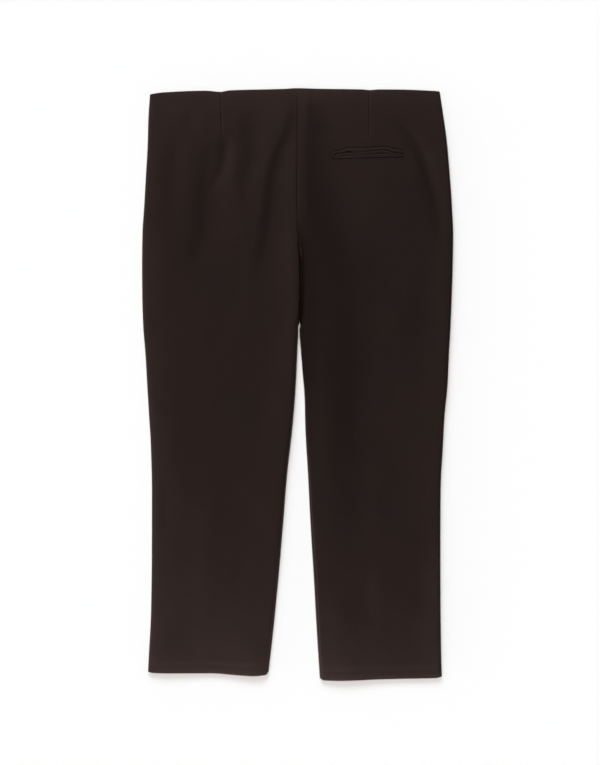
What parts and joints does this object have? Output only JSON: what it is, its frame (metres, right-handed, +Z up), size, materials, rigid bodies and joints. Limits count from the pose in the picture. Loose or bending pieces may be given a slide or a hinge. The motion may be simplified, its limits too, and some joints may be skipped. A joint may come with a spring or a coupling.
{
  "type": "capri pants",
  "caption": "Pull-on capri pants in dark brown stretch cloth, laid flat with the back up: darted back, slim straight legs and a slack welt pocket on the right.",
  "frame": {"origin": "on the table under the garment, at the middle of its outline in length and width", "axes": "+Z up from the table to the garment's back side, +Y from the hems to the waist along the legs, +X to the wearer's right"},
  "size_m": [0.4565, 0.87, 0.0056],
  "materials": {
    "cloth_back": "matte",
    "cloth_front": "matte",
    "welt": "matte",
    "facing": "matte"
  },
  "bodies": {
    "root": {"back_left": "cloth_back", "back_right": "cloth_back", "front_left": "cloth_front", "front_right": "cloth_front", "pocket_welt_upper": "welt", "pocket_welt_lower": "welt", "pocket_facing": "facing"}
  },
  "joints": []
}
